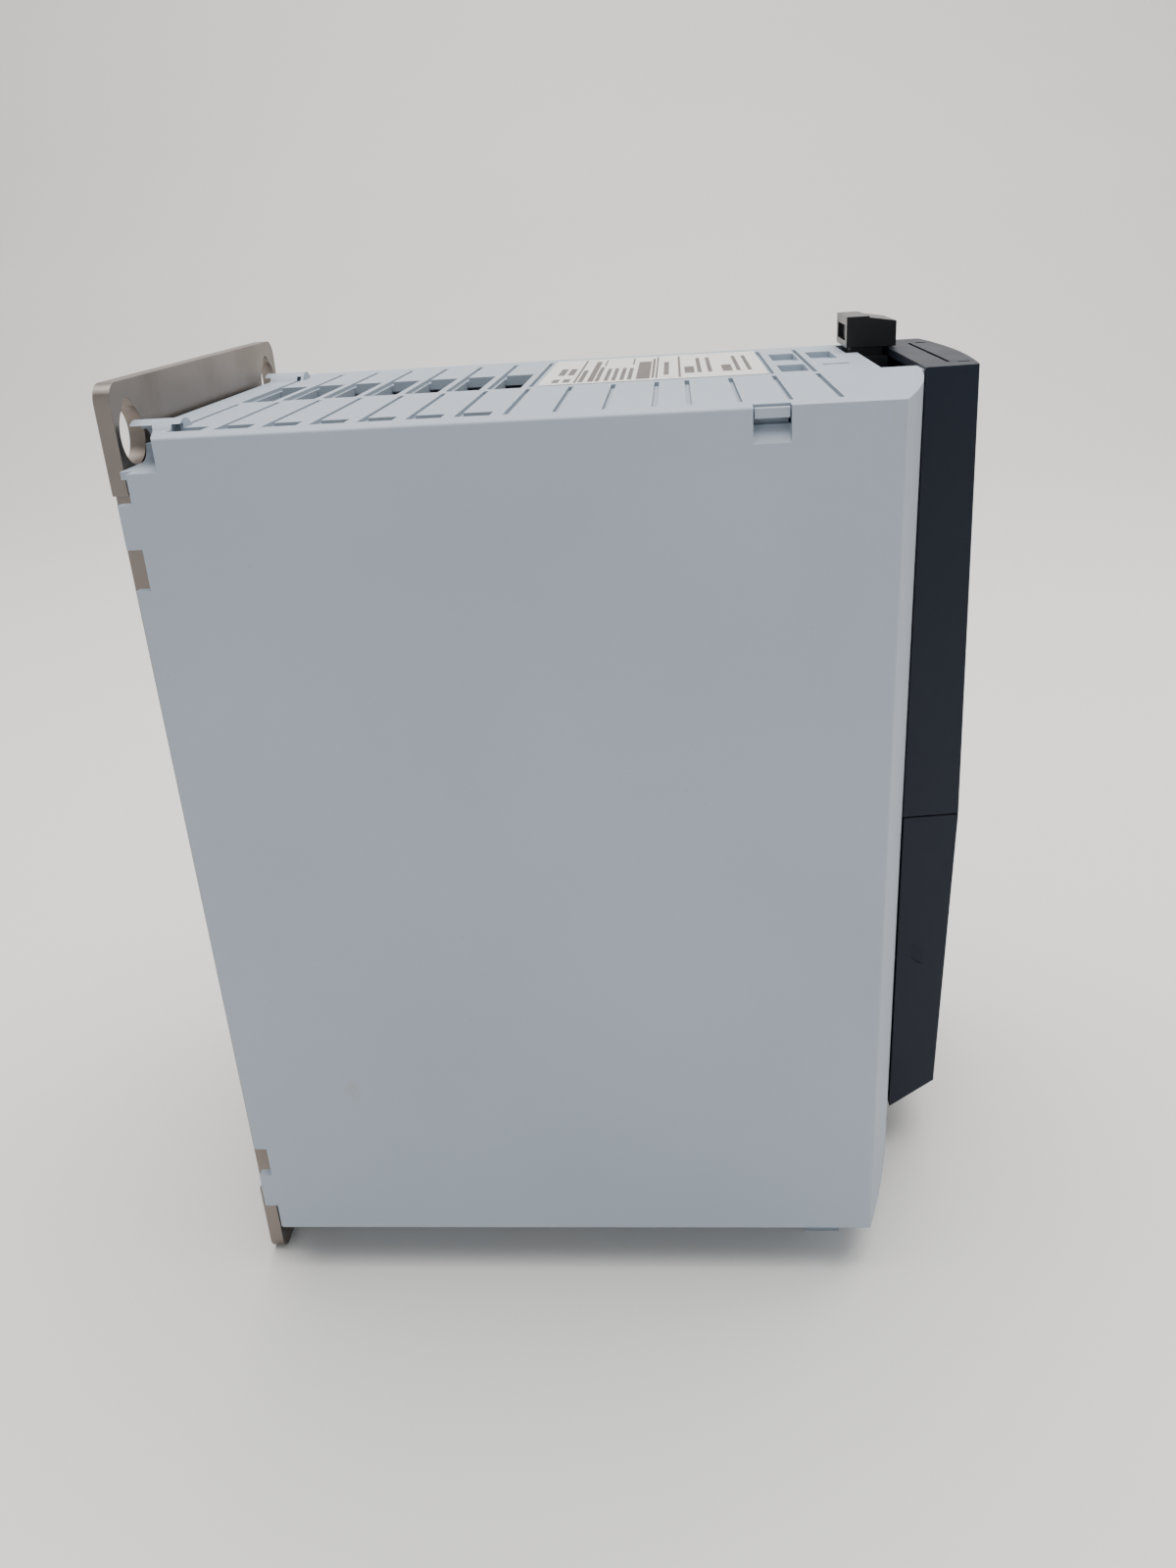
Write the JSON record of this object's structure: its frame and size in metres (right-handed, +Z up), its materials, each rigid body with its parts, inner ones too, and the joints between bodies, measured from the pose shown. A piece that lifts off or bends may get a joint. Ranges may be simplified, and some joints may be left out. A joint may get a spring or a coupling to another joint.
{
  "type": "variable frequency drive",
  "caption": "Panel-mount motor speed controller: grey vented housing on a steel fixing plate, dark front covers, keypad module, cooling fan and boards.",
  "frame": {"origin": "centre of the bounding box at the bottom, on the surface the drive stands on", "axes": "+Z up along the height, +X to the right across the width as seen from the operator's side, +Y back towards the wall the plate is fixed to"},
  "size_m": [0.1224, 0.1871, 0.2257],
  "materials": {
    "housing_grey": "satin, finely textured moulding",
    "cover_dark": "satin blue-black moulding",
    "plate_steel": "nickel-plated, fine grain",
    "heat_sink_alu": "extruded, matt",
    "screw_steel": "zinc plated",
    "brass_parts": "turned",
    "copper_bars": "copper colour",
    "black_plastic": "gloss black",
    "fan_plastic": "glass-filled, matt",
    "vent_grey": "satin",
    "grommet_rubber": "matt",
    "board_green": "solder mask",
    "terminal_dark": "matt",
    "terminal_green": "matt",
    "chip_black": "moulded",
    "capacitor_sleeve": "shrink sleeve",
    "relay_orange": "moulded",
    "choke_winding": "enamelled wire",
    "ribbon_grey": "flat cable",
    "label_film": "printed polyester film",
    "window_smoke": "smoked",
    "digit_block": "potted",
    "lamp_clear": "light pipe",
    "key_grey": "silicone",
    "key_green": "silicone",
    "key_red": "silicone",
    "dial_grey": "satin"
  },
  "bodies": {
    "drive": {"mounting_plate": "plate_steel", "plate_screws": "screw_steel", "heat_sink": "heat_sink_alu", "power_module": "chip_black", "power_module_screws": "screw_steel", "left_housing": "housing_grey", "right_housing": "housing_grey", "housing_screws": "screw_steel", "rating_label": "label_film", "fan_cover": "vent_grey", "fan_frame": "fan_plastic", "fan_bearing": "brass_parts", "fan_screws": "screw_steel", "entry_plate": "vent_grey", "entry_grommets": "grommet_rubber", "power_board": "board_green", "bus_capacitor_1": "capacitor_sleeve", "bus_capacitor_2": "capacitor_sleeve", "bus_capacitor_3": "capacitor_sleeve", "charge_relay": "relay_orange", "filter_choke": "choke_winding", "board_standoffs": "brass_parts", "terminal_busbars": "copper_bars", "power_terminals": "terminal_dark", "power_terminal_screws": "screw_steel", "earth_screws": "brass_parts", "control_board": "board_green", "control_screws": "screw_steel", "control_chips": "chip_black", "control_terminals": "terminal_green", "control_terminal_screws": "screw_steel", "ribbon_cable": "ribbon_grey", "top_socket": "black_plastic", "upper_cover": "cover_dark", "hinge_pins": "screw_steel", "module_contacts": "black_plastic"},
    "lower_cover": {"lower_cover": "cover_dark"},
    "operator_module": {"operator_case": "cover_dark", "operator_back": "cover_dark", "operator_board": "board_green", "display_window": "window_smoke", "display_digits": "digit_block", "status_lamps": "lamp_clear"},
    "speed_dial": {"speed_dial": "dial_grey", "dial_shaft": "screw_steel"},
    "service_plug": {"service_plug": "black_plastic"},
    "side_latch": {"side_latch": "housing_grey"},
    "fan_rotor": {"fan_rotor": "fan_plastic", "fan_shaft": "screw_steel"},
    "key_back": {"key_back": "key_grey"},
    "key_up": {"key_up": "key_grey"},
    "key_enter": {"key_enter": "key_grey"},
    "key_run": {"key_run": "key_green"},
    "key_down": {"key_down": "key_grey"},
    "key_stop": {"key_stop": "key_red"}
  },
  "joints": [
    {"name": "lower_cover_hinge", "type": "hinge", "parent": "drive", "child": "lower_cover", "pos_m": [0.0579, -0.0796, 0.06], "axis": [0, 0, 1], "range_deg": [0, 90]},
    {"name": "operator_module_slide", "type": "slide", "parent": "drive", "child": "operator_module", "axis": [0, 0, 1], "range_m": [0, 0.04]},
    {"name": "service_plug_pull", "type": "slide", "parent": "drive", "child": "service_plug", "axis": [0, 0, 1], "range_m": [0, 0.01]},
    {"name": "side_latch_press", "type": "hinge", "parent": "drive", "child": "side_latch", "pos_m": [-0.05615, -0.0402, 0.1917], "axis": [0, 1, 0], "range_deg": [0, 2.5], "stiffness_Nm_per_rad": 0.6},
    {"name": "fan_spin", "type": "hinge", "parent": "drive", "child": "fan_rotor", "pos_m": [0, 0.058, 0.025], "axis": [0, 0, 1], "continuous": true},
    {"name": "speed_dial_turn", "type": "hinge", "parent": "operator_module", "child": "speed_dial", "pos_m": [0.0208, -0.091, 0.1408], "axis": [0, 1, 0], "range_deg": [-140, 140]},
    {"name": "key_back_press", "type": "slide", "parent": "operator_module", "child": "key_back", "axis": [0, 1, 0], "range_m": [0, 0.0007], "stiffness_N_per_m": 800},
    {"name": "key_up_press", "type": "slide", "parent": "operator_module", "child": "key_up", "axis": [0, 1, 0], "range_m": [0, 0.0007], "stiffness_N_per_m": 800},
    {"name": "key_enter_press", "type": "slide", "parent": "operator_module", "child": "key_enter", "axis": [0, 1, 0], "range_m": [0, 0.0007], "stiffness_N_per_m": 800},
    {"name": "key_run_press", "type": "slide", "parent": "operator_module", "child": "key_run", "axis": [0, 1, 0], "range_m": [0, 0.0007], "stiffness_N_per_m": 800},
    {"name": "key_down_press", "type": "slide", "parent": "operator_module", "child": "key_down", "axis": [0, 1, 0], "range_m": [0, 0.0007], "stiffness_N_per_m": 800},
    {"name": "key_stop_press", "type": "slide", "parent": "operator_module", "child": "key_stop", "axis": [0, 1, 0], "range_m": [0, 0.0007], "stiffness_N_per_m": 800}
  ]
}
